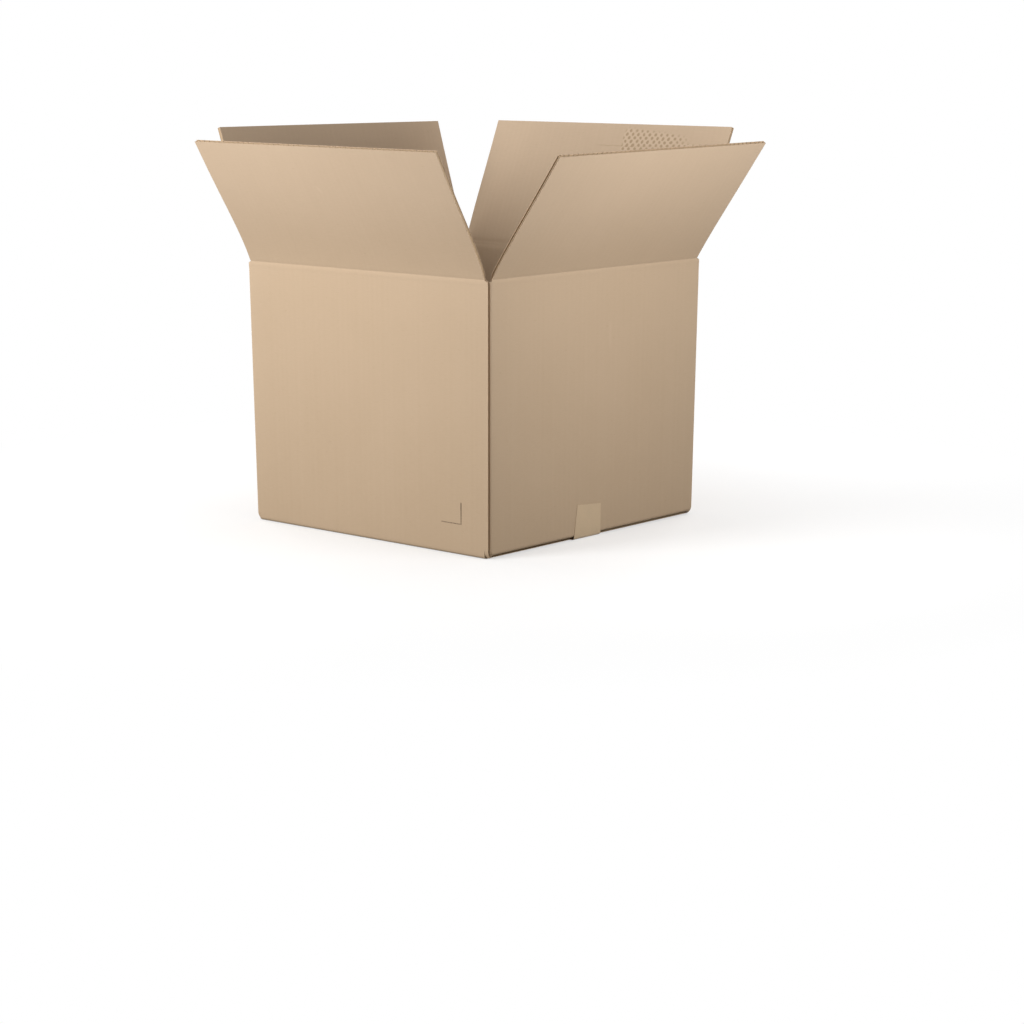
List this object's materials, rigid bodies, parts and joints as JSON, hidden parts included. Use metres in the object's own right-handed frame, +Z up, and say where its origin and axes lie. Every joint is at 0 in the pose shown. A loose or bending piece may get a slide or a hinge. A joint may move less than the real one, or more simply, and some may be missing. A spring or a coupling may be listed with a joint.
{
  "type": "open cardboard box",
  "caption": "Plain corrugated cardboard shipping box, square in plan, taped shut at the bottom, its top flaps folded out.",
  "frame": {"origin": "on the face that the box rests on, under the middle of its floor", "axes": "+Z up, X along the front wall, -Y out of the front wall; the glued corner is at +X, -Y"},
  "size_m": [0.5175, 0.5215, 0.458],
  "materials": {
    "board": "matt brown kraft liner",
    "tape": "satin tan packing tape"
  },
  "bodies": {
    "carton": {"carton_sheet": "board", "bottom_tape": "tape"},
    "front_flap": {"front_flap": "board"},
    "right_flap": {"right_flap": "board"},
    "back_flap": {"back_flap": "board"},
    "left_flap": {"left_flap": "board"}
  },
  "joints": [
    {"name": "front_flap_crease", "type": "hinge", "parent": "carton", "child": "front_flap", "pos_m": [0, -0.188, 0.3073], "axis": [1, 0, 0], "range_deg": [-120.5, 134.5]},
    {"name": "right_flap_crease", "type": "hinge", "parent": "carton", "child": "right_flap", "pos_m": [0.186, 0, 0.303], "axis": [0, 1, 0], "range_deg": [-125.5, 129.5]},
    {"name": "back_flap_crease", "type": "hinge", "parent": "carton", "child": "back_flap", "pos_m": [0, 0.188, 0.3073], "axis": [-1, 0, 0], "range_deg": [-113, 142]},
    {"name": "left_flap_crease", "type": "hinge", "parent": "carton", "child": "left_flap", "pos_m": [-0.186, 0, 0.303], "axis": [0, -1, 0], "range_deg": [-108.5, 146.5]}
  ]
}
